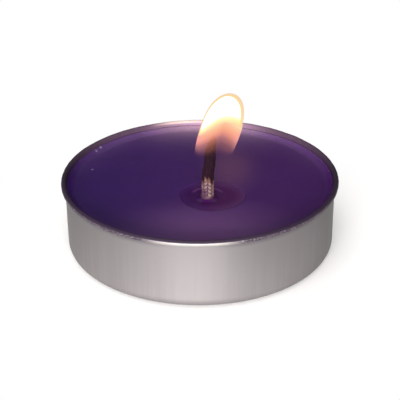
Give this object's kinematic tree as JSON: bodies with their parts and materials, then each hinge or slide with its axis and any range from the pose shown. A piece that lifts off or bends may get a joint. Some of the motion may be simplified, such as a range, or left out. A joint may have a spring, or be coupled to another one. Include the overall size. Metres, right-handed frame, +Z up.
{
  "type": "tea light candle",
  "caption": "Lit tea light candle: low rolled-rim aluminium cup of purple wax with a braided wick in a crimped metal foot, a pool of melted wax and a flame.",
  "frame": {"origin": "middle of the flat ring that the cup stands on, at the level of the table", "axes": "+Z up along the cup's axis; +X to the picture's right, the way the flame and the wick's tip lean; +Y away from the viewer. The wick stands 4.6 mm in front of the cup's axis and 1 mm to its right"},
  "size_m": [0.038, 0.038, 0.0237],
  "materials": {
    "cup_aluminium": "satin",
    "wax": "satin",
    "melted_wax": "gloss",
    "tinned_steel": "satin",
    "wick_cotton": "matte",
    "flame": "matte"
  },
  "bodies": {
    "root": {"cup": "cup_aluminium", "wax": "wax", "melt_pool": "melted_wax", "wick_foot": "tinned_steel", "wick": "wick_cotton", "flame": "flame"}
  },
  "joints": []
}
